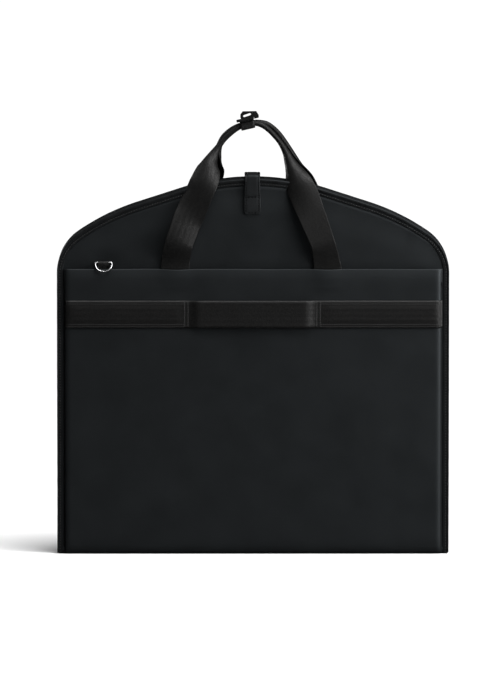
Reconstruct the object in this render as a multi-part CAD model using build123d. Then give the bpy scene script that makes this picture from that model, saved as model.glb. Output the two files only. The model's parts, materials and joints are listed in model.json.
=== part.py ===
from build123d import *
from math import cos, radians, sin, tan
import os

# A folding garment bag, standing folded on its lower fold, in millimetres.
# +X is to the bag's right as seen from the front, the front faces -Y, and +Z is up.
# The origin is the middle of the base. Each half is a slim shell: an outer panel, foam,
# a lining, a gusset round the edge, and an inner panel with the main zip. The halves
# meet at the fold in the base, and the front half swings forward and down about it.
# "Depth" below is the distance outward from the plane between the two halves.

# ---- driving dimensions -------------------------------------------------------------
BODY_WIDTH = 570.0
BODY_HEIGHT = 547.5

# The shoulder outline, as tangent arcs from the crown down to the vertical side.
CROWN_RADIUS = 342.0
CROWN_SLOPE = 17.8
SHOULDER_RADIUS = 330.0
CORNER_RADIUS = 70.0
CORNER_SLOPE = 34.5

# Fabric and layers.
FABRIC = 1.2
BASE_CLEARANCE = 0.4
INNER_FACE = 4.0
OUTER_FACE = 25.5
FOAM_THICK = 3.2
FOAM_INSET = 16.0
LINING_THICK = 0.6
LINING_INSET = 3.0
BINDING_WIDTH = 10.0
BINDING_RIM = 5.5
PIPING_WIDTH = 5.0
PIPING_DEPTH = 1.0
PIPING_RIM = 4.0
FOLD_HEIGHT = 9.8

# Front pocket, with the handle ends and the ring loop coming out of its mouth.
POCKET_TOP = 415.5
POCKET_BOTTOM = 3.0
POCKET_GAP = 5.5
POCKET_INSET = 11.0
FACING_HEIGHT = 25.0
FACING_THICK = 0.8

# Webbing.
WEB_WIDTH = 40.0
WEB_THICK = 2.0
BAND_BOTTOM = 330.5
SLEEVE_LEFT = -94.0
SLEEVE_RIGHT = 92.0
SLEEVE_RISE = 4.8
SLEEVE_RAMP = 14.0

# Carry handles.
HANDLE_CENTRE = 110.0
HANDLE_START = 417.0
ANCHOR_DEPTH = 26.5
ANCHOR_BOTTOM = 335.0
GRIP_DEPTH = 7.0
GRIP_HALF_DEEP = 5.5
GRIP_HALF_TALL = 4.0
GRIP_TOP = 626.0
GRIP_SLOPE = 52.0
GRIP_BEND = 36.0
GRIP_END = 55.0

# Keeper clip that holds the two grips together.
KEEPER_TILT = 13.0
KEEPER_LENGTH = 20.5
KEEPER_WALL = 1.1
KEEPER_DROP = 0.95
KEEPER_PLATE = 2.5
KEEPER_PIN = 1.0
EAR_LEAN = 24.0
EAR_THICKNESS = 2.4
EAR_CORNER = 1.2
EAR_SLOT_LENGTH = 12.0
EAR_SLOT_WIDTH = 4.0
RUNNING_GAP = 0.05

# Closure tab over the top.
TAB_WIDTH = 24.0
TAB_BOTTOM = 495.5
TAB_TOP = 553.4
TAB_FACE = 1.0
TAB_BACKING = 1.4
TAB_DEPTH = 27.0
TAB_MAGNET_Z = 507.5
MAGNET_RADIUS = 7.0

# D-ring at the pocket mouth.
RING_X = -217.0
RING_BAR_Z = 425.5
RING_BAR_DEPTH = 28.5
RING_WIRE = 1.2
RING_RADIUS = 12.0
RING_CORNER = 1.8
RING_TILT = 28.0
LOOP_WIDTH = 16.0
LOOP_THICK = 1.6

# Main zip on the inner faces.
ZIP_TOP = 515.0
ZIP_SLOT = 8.0
TAPE_EDGE = 18.0
COIL_INNER = 1.1
COIL_OUTER = 2.6
COIL_TOP = 497.0
SLIDER_Z = 488.0
SLIDER_HALF = 5.0

# ---- derived dimensions -------------------------------------------------------------
HALF_WIDTH = BODY_WIDTH / 2
SHELL_BOTTOM = FABRIC + BASE_CLEARANCE
PANEL_BACK = OUTER_FACE - FABRIC
BINDING_FACE = OUTER_FACE + FABRIC
POCKET_BACK = OUTER_FACE + POCKET_GAP
POCKET_FACE = POCKET_BACK + FABRIC
POCKET_HALF = HALF_WIDTH - POCKET_INSET
BAND_TOP = BAND_BOTTOM + WEB_WIDTH

PARTS = {}


def keep(name, shape):
    """Store one sub-part under its node name."""
    PARTS[name] = shape


def to_rear(shape):
    """The same piece on the rear half."""
    return mirror(shape, about=Plane.XZ)


def keep_on_rear(name, shape):
    keep(name, to_rear(shape))


def layer(sketch, near, far):
    """An X-Z sketch given thickness from depth near to depth far, on the front half."""
    return extrude(Plane.XZ.offset(near) * sketch, far - near)


def block(x, depth, z):
    """A box from (low, high) pairs of X, depth and Z, on the front half."""
    wide, deep, high = x[1] - x[0], depth[1] - depth[0], z[1] - z[0]
    centre = ((x[0] + x[1]) / 2, -(depth[0] + depth[1]) / 2, (z[0] + z[1]) / 2)
    return Pos(*centre) * Box(wide, deep, high)


def outline(inset, bottom):
    """The bag's front view as a face, moved inward by inset, flat at height bottom."""
    slope, corner = radians(CROWN_SLOPE), radians(CORNER_SLOPE)
    crown_x = CROWN_RADIUS * sin(slope)
    curved = SHOULDER_RADIUS * (sin(corner) - sin(slope)) + CORNER_RADIUS * (1 - sin(corner))
    straight = (HALF_WIDTH - crown_x - curved) / cos(slope)
    crown_z = BODY_HEIGHT - CROWN_RADIUS
    shoulder_x = crown_x + straight * cos(slope) - SHOULDER_RADIUS * sin(slope)
    shoulder_z = crown_z + (CROWN_RADIUS - SHOULDER_RADIUS) * cos(slope) - straight * sin(slope)
    corner_x = HALF_WIDTH - CORNER_RADIUS
    corner_z = shoulder_z + (SHOULDER_RADIUS - CORNER_RADIUS) * cos(corner)
    crown = CenterArc((0, crown_z), CROWN_RADIUS - inset, 90 - CROWN_SLOPE, 2 * CROWN_SLOPE)
    turn = CORNER_SLOPE - CROWN_SLOPE
    shoulder = CenterArc((shoulder_x, shoulder_z), SHOULDER_RADIUS - inset, 90 - CORNER_SLOPE, turn)
    rounding = CenterArc((corner_x, corner_z), CORNER_RADIUS - inset, 0, 90 - CORNER_SLOPE)
    ramp = Line(crown @ 0, shoulder @ 1)
    side = Line(rounding @ 0, (HALF_WIDTH - inset, bottom))
    half = [ramp, shoulder, rounding, side]
    base = Line((-(HALF_WIDTH - inset), bottom), (HALF_WIDTH - inset, bottom))
    return make_face([crown, base] + half + [mirror(edge, about=Plane.YZ) for edge in half])


def rim(outer, inner, bottom):
    """The band between two insets of the outline, open at the bottom."""
    return outline(outer, bottom) - outline(inner, bottom - FABRIC)


# ---- the two shells -----------------------------------------------------------------
def outer_panel():
    return layer(outline(FABRIC, SHELL_BOTTOM), PANEL_BACK, OUTER_FACE)


def gusset():
    return layer(rim(FABRIC, 2 * FABRIC, SHELL_BOTTOM), INNER_FACE + FABRIC, PANEL_BACK)


def inner_panel():
    sheet = layer(outline(FABRIC, FOLD_HEIGHT + 0.2), INNER_FACE, INNER_FACE + FABRIC)
    slot = block((-ZIP_SLOT, ZIP_SLOT), (INNER_FACE - 1, INNER_FACE + 2), (0, ZIP_TOP))
    return sheet - slot


def foam():
    return layer(outline(FOAM_INSET, FOAM_INSET), PANEL_BACK - FOAM_THICK - 0.1, PANEL_BACK - 0.1)


def lining():
    face = PANEL_BACK - FOAM_THICK - 0.2
    return layer(outline(LINING_INSET, FOAM_INSET - 4), face - LINING_THICK, face)


def outer_binding():
    """The bound edge: a flat strip on the panel, turned over onto the gusset."""
    strip = layer(rim(0, BINDING_WIDTH, SHELL_BOTTOM), OUTER_FACE, BINDING_FACE)
    turn = layer(rim(0, FABRIC, SHELL_BOTTOM), OUTER_FACE - BINDING_RIM, OUTER_FACE)
    return strip + turn


def inner_piping():
    """The piped edge of the inner panel, which closes the gap between the halves."""
    bead = layer(rim(0, PIPING_WIDTH, SHELL_BOTTOM), PIPING_DEPTH, INNER_FACE)
    turn = layer(rim(0, FABRIC, SHELL_BOTTOM), INNER_FACE, INNER_FACE + PIPING_RIM)
    return bead + turn


def zip_tapes():
    tape = block((COIL_OUTER, TAPE_EDGE), (5.2, 5.8), (FOLD_HEIGHT + 0.2, ZIP_TOP + 8))
    return [tape, mirror(tape, about=Plane.YZ)]


def zip_coils(top):
    coil = block((COIL_INNER, COIL_OUTER), (4.4, 6.4), (FOLD_HEIGHT + 0.2, top))
    return [coil, mirror(coil, about=Plane.YZ)]


# ---- webbing handles ----------------------------------------------------------------
def handle_anchors():
    """The handle ends that are sewn down behind the lap."""
    half = WEB_WIDTH / 2
    depths = (ANCHOR_DEPTH - WEB_THICK / 2, ANCHOR_DEPTH + WEB_THICK / 2)
    heights = (ANCHOR_BOTTOM, HANDLE_START - 0.5)
    return [block((x - half, x + half), depths, heights) for x in (-HANDLE_CENTRE, HANDLE_CENTRE)]


def leg_side_view():
    """Side view of a handle leg: it bows out over the panel, then leans in to the grip."""
    bow = [(ANCHOR_DEPTH, HANDLE_START), (35.5, 446), (38, 484), (35, 526), (23, 562), (GRIP_DEPTH, 588)]
    half = WEB_THICK / 2
    near = Spline([(depth - half, z) for depth, z in bow])
    far = Spline([(depth + half, z) for depth, z in bow])
    ends = [Line(near @ 0, far @ 0), Line(near @ 1, far @ 1)]
    return make_face([near, far] + ends)


def leg_front_view():
    """Front view of the right leg: full webbing width below, gathered in at the grip."""
    inner = Spline((90, HANDLE_START), (79, 449), (62, 493), (50, 529), (46, 558), (46, 586))
    outer = Spline((130, HANDLE_START), (122, 449), (109, 493), (96, 529), (76, 560), (57, 588))
    ends = [Line(inner @ 0, outer @ 0), Line(inner @ 1, outer @ 1)]
    return make_face([inner, outer] + ends)


def grip_path():
    """The grip's centre line: two straight slopes joined by one bend at the top."""
    slope = radians(GRIP_SLOPE)
    apex = GRIP_TOP + GRIP_BEND * (1 / cos(slope) - 1)
    foot = apex - GRIP_END * tan(slope)
    corners = [(-GRIP_END, foot), (0, apex), (GRIP_END, foot)]
    return Plane.XZ.offset(GRIP_DEPTH) * FilletPolyline(*corners, radius=GRIP_BEND)


def handle_webbing():
    """One length of webbing: two flat legs and the rolled grip between them."""
    band = extrude(Plane.YZ * mirror(leg_side_view(), about=Plane.YZ), 2 * HANDLE_CENTRE)
    leg = band & layer(leg_front_view(), 0, 2 * POCKET_FACE)
    path = grip_path()
    start = Plane(path @ 0, x_dir=(0, 1, 0), z_dir=path % 0)
    grip = sweep(start * Ellipse(GRIP_HALF_DEEP, GRIP_HALF_TALL), path=path)
    return leg + grip + mirror(leg, about=Plane.YZ)


# ---- keeper clip --------------------------------------------------------------------
def keeper_plane():
    """On the grip a little left of its top: local X along the grip, local Z up from it."""
    tilt = radians(KEEPER_TILT)
    centre = (-GRIP_BEND * sin(tilt), 0, GRIP_TOP - GRIP_BEND * (1 - cos(tilt)))
    return Plane(centre, x_dir=(cos(tilt), 0, sin(tilt)), z_dir=(-sin(tilt), 0, cos(tilt)))


LOOP_HEIGHT = 2 * GRIP_HALF_TALL + 2.4
LOOP_OPEN = 2 * GRIP_HALF_DEEP + 0.4
LOOP_TOP = LOOP_HEIGHT / 2 + KEEPER_WALL - KEEPER_DROP
PIN_DEPTH = GRIP_DEPTH + LOOP_OPEN / 2 + KEEPER_WALL + 2.4
PIN_HEIGHT = LOOP_TOP + 1.6
BARREL_RADIUS = 2.2
LUG = 2.0


def keeper_loop():
    """A webbing loop sewn round one grip."""
    outside = Box(KEEPER_LENGTH, LOOP_OPEN + 2 * KEEPER_WALL, LOOP_HEIGHT + 2 * KEEPER_WALL)
    outside = fillet(outside.edges().filter_by(Axis.X), 2.5)
    inside = Box(KEEPER_LENGTH + 2, LOOP_OPEN, LOOP_HEIGHT)
    inside = fillet(inside.edges().filter_by(Axis.X), 1.4)
    return Pos(0, -GRIP_DEPTH, -KEEPER_DROP) * (outside - inside)


def along_pin(radius, start, end):
    """A cylinder on the keeper's hinge line, in the keeper's own frame."""
    middle = (start + end) / 2
    return Pos(middle, -PIN_DEPTH, PIN_HEIGHT) * Rot(0, 90, 0) * Cylinder(radius, end - start)


def keeper_lugs():
    """Two lugs that carry the hinge pin at the front of the front loop's saddle."""
    lugs = []
    for start in (-KEEPER_LENGTH / 2, KEEPER_LENGTH / 2 - LUG):
        depth = PIN_DEPTH - GRIP_DEPTH
        foot = Pos(start + LUG / 2, -GRIP_DEPTH - depth / 2, LOOP_TOP + 0.3) * Box(LUG, depth, 0.6)
        riser = Pos(start + LUG / 2, -PIN_DEPTH, PIN_HEIGHT - 1) * Box(LUG, 2 * BARREL_RADIUS, 2)
        lugs.append(foot + riser + along_pin(BARREL_RADIUS, start, start + LUG))
    saddle = Pos(0, -GRIP_DEPTH, LOOP_TOP + 0.3) * Box(KEEPER_LENGTH, 8, 0.6)
    return lugs[0] + lugs[1] + saddle - along_pin(KEEPER_PIN, -KEEPER_LENGTH, KEEPER_LENGTH)


def keeper_plate():
    """The clip's lever: it spans both loops, and its slotted ear is the finger pull."""
    barrel_half = KEEPER_LENGTH / 2 - LUG - 0.3
    low = LOOP_TOP + 1.0
    rear = GRIP_DEPTH + LOOP_OPEN / 2 + KEEPER_WALL
    front = PIN_DEPTH - BARREL_RADIUS
    plate = Pos(-1, (rear - front) / 2, low + KEEPER_PLATE / 2) * Box(27, rear + front, KEEPER_PLATE)
    plate = fillet(plate.edges().filter_by(Axis.Z), 2)
    neck = Pos(0, -PIN_DEPTH + 1.5, low + KEEPER_PLATE / 2) * Box(2 * barrel_half, 3, KEEPER_PLATE)
    bore = along_pin(KEEPER_PIN + RUNNING_GAP, -KEEPER_LENGTH, KEEPER_LENGTH)
    lever = plate + neck + along_pin(BARREL_RADIUS, -barrel_half, barrel_half) - bore
    # The ear stands on the plate and leans back: a ring at its low end, solid where it overhangs.
    foot = low + KEEPER_PLATE - 1
    rise = [(-5.4, foot), (-8.0, foot + 3.6), (-7.0, foot + 8.4), (-2.6, foot + 12.4)]
    rise += [(16.8, foot + 8.0), (19.0, foot + 1.6), (18.2, foot - 2.2), (12.6, foot - 2.2)]
    ear = fillet(make_face(Polyline(*rise, close=True)).vertices(), EAR_CORNER)
    slot = Pos(2.4, foot + 5.4) * Rot(0, 0, 6) * SlotOverall(EAR_SLOT_LENGTH, EAR_SLOT_WIDTH)
    ear = extrude(Plane.XZ.offset(-EAR_THICKNESS / 2) * (ear - slot), EAR_THICKNESS)
    hinge = Pos(0, 0, foot)
    ear = hinge * Rot(-EAR_LEAN, 0, 0) * hinge.inverse() * ear
    return keeper_plane() * (lever + ear)


# ---- closure tab --------------------------------------------------------------------
TAB_MID = TAB_DEPTH + (TAB_FACE + TAB_BACKING) / 2
TAB_HINGE_Z = TAB_TOP - (TAB_FACE + TAB_BACKING) / 2


def tab_leaf(near, far):
    """One ply of the tab, rounded at the bottom."""
    half, corner = TAB_WIDTH / 2, 4
    corners = [(-half, TAB_HINGE_Z), (-half, TAB_BOTTOM), (half, TAB_BOTTOM), (half, TAB_HINGE_Z)]
    leaf = make_face(Polyline(*corners, close=True))
    leaf = fillet(leaf.vertices().group_by(Axis.Y)[0], corner)
    return layer(leaf, near, far)


def disc(depth, height, thick, radius=MAGNET_RADIUS):
    """A round plate standing upright, its inner face at the given depth."""
    return Pos(0, -(depth + thick / 2), height) * Rot(90, 0, 0) * Cylinder(radius, thick)


def tab_backing():
    knuckle = Pos(0, -TAB_MID, TAB_HINGE_Z) * Rot(0, 90, 0) * Cylinder(1.2, TAB_WIDTH)
    below = block((-20, 20), (TAB_DEPTH - 1, TAB_DEPTH + 4), (TAB_HINGE_Z - 5, TAB_HINGE_Z))
    pocket = disc(TAB_DEPTH + 0.2, TAB_MAGNET_Z, TAB_BACKING, MAGNET_RADIUS + 0.1)
    return tab_leaf(TAB_DEPTH, TAB_DEPTH + TAB_BACKING) + (knuckle - below) - pocket


def tab_strap():
    """The tab's fixed part: over the top and down the rear panel, where it is sewn."""
    thick = TAB_FACE + TAB_BACKING
    span = (-TAB_WIDTH / 2, TAB_WIDTH / 2)
    over = block(span, (-TAB_DEPTH - thick, TAB_DEPTH - 0.4), (TAB_TOP - thick, TAB_TOP))
    down = block(span, (-TAB_DEPTH - thick, -TAB_DEPTH), (512, TAB_TOP))
    return over + down


# ---- D-ring -------------------------------------------------------------------------
def d_ring():
    """A wire D: straight bar above, round bow below, leaning out over the pocket mouth."""
    drop = 2.5
    corners = [(-RING_RADIUS, -drop), (-RING_RADIUS, 0), (RING_RADIUS, 0), (RING_RADIUS, -drop)]
    bar = FilletPolyline(*corners, radius=RING_CORNER)
    bow = CenterArc((0, -drop), RING_RADIUS, 180, 180)
    wire = Plane.XZ * Wire(list(bar.edges()) + [bow.edge()])
    section = Plane((-RING_RADIUS, 0, -drop), z_dir=(0, 0, 1)) * Circle(RING_WIRE)
    ring = sweep(section, path=wire)
    return Pos(RING_X, -RING_BAR_DEPTH, RING_BAR_Z) * Rot(-RING_TILT, 0, 0) * ring


def ring_loop():
    """Webbing folded round the ring's bar, both plies running down into the pocket."""
    bore = RING_WIRE + 0.2
    outer = bore + LOOP_THICK
    eye = Pos(RING_X, -RING_BAR_DEPTH, RING_BAR_Z) * Rot(0, 90, 0) * Cylinder(outer, LOOP_WIDTH)
    hole = Pos(RING_X, -RING_BAR_DEPTH, RING_BAR_Z) * Rot(0, 90, 0) * Cylinder(bore, LOOP_WIDTH + 2)
    span = (RING_X - LOOP_WIDTH / 2, RING_X + LOOP_WIDTH / 2)
    low = RING_BAR_DEPTH - outer
    stem = block(span, (low, low + 2 * LOOP_THICK), (395, RING_BAR_Z))
    return eye + stem - hole


# ---- zip slider ---------------------------------------------------------------------
def slider_body():
    """Two plates joined by the wedge that parts the coils, with a bail for the pull."""
    top_z = SLIDER_Z + 14
    face = block((-SLIDER_HALF, SLIDER_HALF), (2.9, 4.1), (SLIDER_Z, top_z))
    back = block((-SLIDER_HALF, SLIDER_HALF), (6.7, 7.9), (SLIDER_Z, top_z))
    flanges = []
    for x in (-SLIDER_HALF, SLIDER_HALF - 1.2):
        flanges.append(block((x, x + 1.2), (4.1, 5.0), (SLIDER_Z, top_z)))
        flanges.append(block((x, x + 1.2), (6.0, 6.7), (SLIDER_Z, top_z)))
    wedge = block((-1.0, 1.0), (4.1, 6.7), (COIL_TOP + 1, top_z))
    feet = [block((-1.5, 1.5), (0.6, 2.9), (z, z + 1.2)) for z in (SLIDER_Z + 1, top_z - 2.2)]
    bail = block((-1.5, 1.5), (0.6, 1.3), (SLIDER_Z + 1, top_z - 1))
    return face + back + wedge + bail + feet + flanges


def slider_pull():
    """A flat puller, threaded on the bail."""
    outline_2d = RectangleRounded(8, 32, 2.5)
    eye = Pos(0, 12) * RectangleRounded(4, 4.5, 1)
    return layer(Pos(0, SLIDER_Z - 10.2) * (outline_2d - eye), 1.5, 2.6)


# ---- front half ---------------------------------------------------------------------
def build_front():
    keep("front_outer_panel", outer_panel())
    keep("front_gusset", gusset())
    keep("front_inner_panel", inner_panel())
    recess = disc(PANEL_BACK - FOAM_THICK - 1, TAB_MAGNET_Z, FOAM_THICK + 2, MAGNET_RADIUS + 0.5)
    keep("front_foam", foam() - recess)
    keep("front_lining", lining())
    keep("front_outer_binding", outer_binding())
    keep("front_inner_piping", inner_piping())
    keep("front_zip_tapes", zip_tapes())
    keep("front_zip_coils", zip_coils(COIL_TOP))
    keep("catch_magnet", disc(PANEL_BACK - 2.0, TAB_MAGNET_Z, 1.8))
    keep("front_handle_anchors", handle_anchors())
    wide, tall = (-POCKET_HALF, POCKET_HALF), (POCKET_BOTTOM, POCKET_TOP)
    keep("pocket_panel", block(wide, (POCKET_BACK, POCKET_FACE), tall))
    keep("pocket_gusset", pocket_gusset())
    facing = (POCKET_BACK - FACING_THICK, POCKET_BACK)
    inside = POCKET_HALF - FABRIC
    keep("pocket_facing", block((-inside, inside), facing, (POCKET_TOP - FACING_HEIGHT, POCKET_TOP)))
    keep("trolley_webbing", trolley_webbing())
    keep("ring_loop", ring_loop())
    keep("d_ring", d_ring())


def pocket_gusset():
    """The pocket's two sides and bottom, which hold it open at the top."""
    depths = (OUTER_FACE, POCKET_BACK)
    inside = POCKET_HALF - FABRIC
    side = block((inside, POCKET_HALF), depths, (POCKET_BOTTOM, POCKET_TOP))
    base = block((-inside, inside), depths, (POCKET_BOTTOM, POCKET_BOTTOM + FABRIC))
    return [side, mirror(side, about=Plane.YZ), base]


def trolley_webbing():
    """A full-width band, free of the pocket between its two cross seams."""
    rise_left, rise_right = SLEEVE_LEFT + SLEEVE_RAMP, SLEEVE_RIGHT - SLEEVE_RAMP
    lifted = POCKET_FACE + SLEEVE_RISE
    under = [
        (-POCKET_HALF, POCKET_FACE),
        (SLEEVE_LEFT, POCKET_FACE),
        (rise_left, lifted),
        (rise_right, lifted),
        (SLEEVE_RIGHT, POCKET_FACE),
        (POCKET_HALF, POCKET_FACE),
    ]
    over = [(x, depth + WEB_THICK) for x, depth in under]
    section = make_face(Polyline(*[(x, -depth) for x, depth in under + over[::-1]], close=True))
    return extrude(Plane.XY.offset(BAND_BOTTOM) * section, WEB_WIDTH)


# ---- rear half ----------------------------------------------------------------------
PORT_HALF = 22.0
PORT_DEPTHS = (9.5, 18.5)
PATCH_DEPTHS = (8.0, 20.0)


def port_patch():
    """A reinforcing patch round the hanger port, on top of the rear gusset."""
    band = layer(rim(0, FABRIC, SHELL_BOTTOM), *PATCH_DEPTHS)
    zone = block((-30, 30), (0, 30), (BODY_HEIGHT - 20, BODY_HEIGHT + 5))
    return (band & zone) - port_cut()


def port_cut():
    return block((-PORT_HALF, PORT_HALF), PORT_DEPTHS, (BODY_HEIGHT - 20, BODY_HEIGHT + 5))


def rear_lap():
    """The lower rear panel, foam backed, with a channel over each handle end."""
    panel = block((-POCKET_HALF, POCKET_HALF), (OUTER_FACE, 29.4), (POCKET_BOTTOM, POCKET_TOP))
    half = WEB_WIDTH / 2 + 0.2
    for x in (-HANDLE_CENTRE, HANDLE_CENTRE):
        panel -= block((x - half, x + half), (OUTER_FACE - 1, 28.1), (ANCHOR_BOTTOM - 1, POCKET_TOP + 1))
    return panel


def garment_strap():
    """Elastic strap across the inside, with its slide."""
    reach = HALF_WIDTH - 2 * FABRIC - 0.1
    strap = block((-reach, reach), (18.0, 19.2), (237.5, 262.5))
    frame = block((44, 76), (17.0, 20.0), (234, 266)) - block((49, 71), (16, 21), (237.2, 262.8))
    return strap, frame - strap


def build_rear():
    keep_on_rear("rear_outer_panel", outer_panel())
    keep_on_rear("rear_gusset", gusset() - port_cut())
    keep_on_rear("rear_inner_panel", inner_panel())
    keep_on_rear("rear_foam", foam())
    keep_on_rear("rear_lining", lining())
    keep_on_rear("rear_outer_binding", outer_binding())
    keep_on_rear("rear_inner_piping", inner_piping())
    keep("rear_zip_tapes", [to_rear(s) for s in zip_tapes()])
    keep("rear_zip_coils", [to_rear(s) for s in zip_coils(COIL_TOP)])
    stop_heights = (SLIDER_Z + 15, SLIDER_Z + 18)
    keep_on_rear("zip_top_stop", block((-COIL_OUTER, COIL_OUTER), (4.2, 6.6), stop_heights))
    keep_on_rear("hanger_port_patch", port_patch())
    keep("rear_handle_anchors", [to_rear(s) for s in handle_anchors()])
    keep_on_rear("rear_lap_panel", rear_lap())
    strap, frame = garment_strap()
    keep_on_rear("garment_strap", strap)
    keep_on_rear("garment_strap_slide", frame)
    keep("tab_strap", tab_strap())
    base = HALF_WIDTH - FABRIC
    keep("fold_panel", block((-base, base), (-OUTER_FACE, OUTER_FACE), (0, FABRIC)))
    span = HALF_WIDTH - PIPING_WIDTH
    reach = INNER_FACE + FABRIC
    keep("inner_fold_panel", block((-span, span), (-reach, reach), (FOLD_HEIGHT - FABRIC, FOLD_HEIGHT)))


# ---- moving pieces ------------------------------------------------------------------
def build_moving():
    webbing = handle_webbing()
    keep("front_handle_webbing", webbing)
    keep("rear_handle_webbing", to_rear(webbing))
    clip = keeper_plane()
    loop = keeper_loop()
    keep("front_keeper_loop", clip * loop)
    keep("rear_keeper_loop", to_rear(clip * loop))
    keep("keeper_saddle", clip * keeper_lugs())
    keep("keeper_pin", clip * along_pin(KEEPER_PIN, -KEEPER_LENGTH / 2, KEEPER_LENGTH / 2))
    keep("keeper_plate", keeper_plate())
    keep("closure_tab_face", tab_leaf(TAB_DEPTH + TAB_BACKING, TAB_DEPTH + TAB_BACKING + TAB_FACE))
    keep("closure_tab_backing", tab_backing())
    keep("tab_magnet", disc(TAB_DEPTH + 0.25, TAB_MAGNET_Z, 1.1))
    keep_on_rear("zip_slider", slider_body())
    keep_on_rear("zip_pull", slider_pull())


def write_parts():
    os.makedirs("parts", exist_ok=True)
    for name, shape in PARTS.items():
        solids = shape if isinstance(shape, list) else shape.solids()
        node = Compound(children=[Solid(s.wrapped) if not isinstance(s, Solid) else s for s in solids])
        export_step(node, f"parts/{name}.step")
        print(name, len(solids), round(sum(s.volume for s in solids) / 1000, 2), "cm3")


build_front()
build_rear()
build_moving()
write_parts()
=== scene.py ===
import json
from math import ceil, cos, dist, pi, radians, sin, sqrt, tan

import bmesh
import bpy
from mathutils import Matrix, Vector, noise


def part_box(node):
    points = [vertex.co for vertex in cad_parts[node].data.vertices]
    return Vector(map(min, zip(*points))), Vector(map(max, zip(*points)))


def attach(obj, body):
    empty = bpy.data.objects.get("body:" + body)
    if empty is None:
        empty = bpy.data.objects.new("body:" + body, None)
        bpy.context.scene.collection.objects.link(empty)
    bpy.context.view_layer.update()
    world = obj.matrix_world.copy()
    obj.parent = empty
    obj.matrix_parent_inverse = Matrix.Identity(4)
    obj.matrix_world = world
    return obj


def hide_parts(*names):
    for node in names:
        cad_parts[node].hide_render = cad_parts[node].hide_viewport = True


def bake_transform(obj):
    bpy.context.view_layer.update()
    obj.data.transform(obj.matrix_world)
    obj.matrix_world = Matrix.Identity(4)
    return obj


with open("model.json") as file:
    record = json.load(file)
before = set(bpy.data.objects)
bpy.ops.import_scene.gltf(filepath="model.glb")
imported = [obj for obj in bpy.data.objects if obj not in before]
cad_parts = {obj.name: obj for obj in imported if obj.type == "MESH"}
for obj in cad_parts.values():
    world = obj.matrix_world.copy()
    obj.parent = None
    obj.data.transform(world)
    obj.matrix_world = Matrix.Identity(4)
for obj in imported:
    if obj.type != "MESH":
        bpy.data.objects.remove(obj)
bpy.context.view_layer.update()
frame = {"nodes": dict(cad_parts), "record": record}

# Shapes are worked out in millimetres and turned into metres when a mesh is made.
# "Depth" is the distance outward from the plane between the bag's two halves.
MM = 0.001
FRONT, REAR = -1, 1
HALVES = {"front": FRONT, "rear": REAR}


# ---- sizes from the frame ----
def low_corner(node):
    return [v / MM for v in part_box(node)[0]]


def high_corner(node):
    return [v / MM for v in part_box(node)[1]]


HALF_WIDTH = high_corner("front_outer_binding")[0]
BODY_TOP = high_corner("front_outer_binding")[2]
BODY_FOOT = low_corner("front_outer_binding")[2]
PANEL_FACE = -low_corner("front_outer_panel")[1]
POCKET_FACE = -low_corner("pocket_panel")[1]
POCKET_TOP = high_corner("pocket_panel")[2]
LAP_FACE = high_corner("rear_lap_panel")[1]
BAND_LOW = low_corner("trolley_webbing")[2]
BAND_HIGH = high_corner("trolley_webbing")[2]
TAB_HALF = high_corner("closure_tab_face")[0]
TAB_FOOT = low_corner("closure_tab_face")[2]
TAB_SEWN_FOOT = low_corner("tab_strap")[2]
TAB_TOP = high_corner("tab_strap")[2]
ZIP_HEAD = high_corner("rear_zip_tapes")[2]
COIL_HEAD = high_corner("rear_zip_coils")[2]
RING_X = (low_corner("ring_loop")[0] + high_corner("ring_loop")[0]) / 2

# The outline's tangent arcs, as in the CAD model.
CROWN_RADIUS = 342.0
SHOULDER_RADIUS = 330.0
CORNER_RADIUS = 70.0
CROWN_SLOPE = radians(17.8)
CORNER_SLOPE = radians(34.5)
CROWN_Z = BODY_TOP - CROWN_RADIUS
CROWN_X = CROWN_RADIUS * sin(CROWN_SLOPE)
CORNER_X = HALF_WIDTH - CORNER_RADIUS
SHOULDER_X = CORNER_X - (SHOULDER_RADIUS - CORNER_RADIUS) * sin(CORNER_SLOPE)
RAMP_RUN = SHOULDER_X + SHOULDER_RADIUS * sin(CROWN_SLOPE) - CROWN_X
RAMP_DROP = RAMP_RUN * tan(CROWN_SLOPE)
SHOULDER_Z = CROWN_Z + (CROWN_RADIUS - SHOULDER_RADIUS) * cos(CROWN_SLOPE) - RAMP_DROP
CORNER_Z = SHOULDER_Z + (SHOULDER_RADIUS - CORNER_RADIUS) * cos(CORNER_SLOPE)

# Edge trim, measured inward from the outline.
BINDING_INNER = 9.7
PIPING_INNER = 5.2
PANEL_INSET = 7.0

# Thicknesses and thread.
PANEL_CLOTH = 1.2
LAP_CLOTH = 1.0
FOLD_CLOTH = 0.7
TAPE_CLOTH = 0.6
WEB = 1.7
THREAD = 0.4
STITCH_PITCH = 3.2


# ---- small maths ----
def lerp(a, b, t):
    return a + (b - a) * t


def smooth(low, high, value):
    """0 below low, 1 above high, and an S-curve between them."""
    t = min(max((value - low) / (high - low), 0.0), 1.0)
    return t * t * (3 - 2 * t)


def bump(centre, width, value):
    """A smooth hump of height 1 round centre."""
    return 1 - smooth(0, width, abs(value - centre))


def spread(low, high, count):
    return [lerp(low, high, i / (count - 1)) for i in range(count)]


def wave(x, z, size, seed=0.0):
    """Gentle unevenness of about -1 to 1 with features of that size."""
    return noise.noise(Vector((x / size, seed, z / size)))


def distances(points):
    """How far along a line of points each one is."""
    runs = [0.0]
    for a, b in zip(points, points[1:]):
        runs.append(runs[-1] + dist(a, b))
    return runs


def heading(points, i):
    """The way in which a line of points runs at its point i."""
    return (points[min(i + 1, len(points) - 1)] - points[max(i - 1, 0)]).normalized()


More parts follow.
